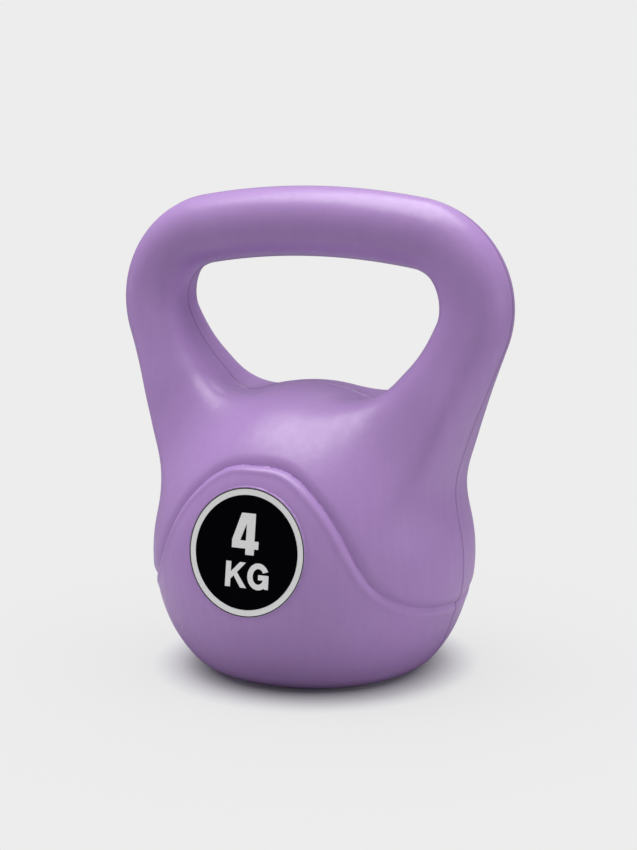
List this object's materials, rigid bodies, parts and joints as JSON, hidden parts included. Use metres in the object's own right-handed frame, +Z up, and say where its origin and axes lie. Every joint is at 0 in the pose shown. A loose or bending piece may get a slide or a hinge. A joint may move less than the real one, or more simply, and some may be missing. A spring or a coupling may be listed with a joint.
{
  "type": "kettlebell",
  "caption": "Round-bellied kettlebell with a wide looped handle and a flat foot, moulded in plastic round a heavy casting, for swinging and lifting exercises.",
  "frame": {"origin": "middle of the flat foot, on the surface the kettlebell stands on", "axes": "+X along the grip towards the viewer's right when the front label is seen, +Y towards the back, +Z up through the middle of the grip"},
  "size_m": [0.1852, 0.1364, 0.2123],
  "materials": {
    "shell_plastic": "satin",
    "ballast_casting": "matte",
    "plug_rubber": "matte",
    "label_film": "satin"
  },
  "bodies": {
    "root": {"shell": "shell_plastic", "ballast": "ballast_casting", "fill_plug": "plug_rubber", "front_label": "label_film", "back_label": "label_film"}
  },
  "joints": []
}
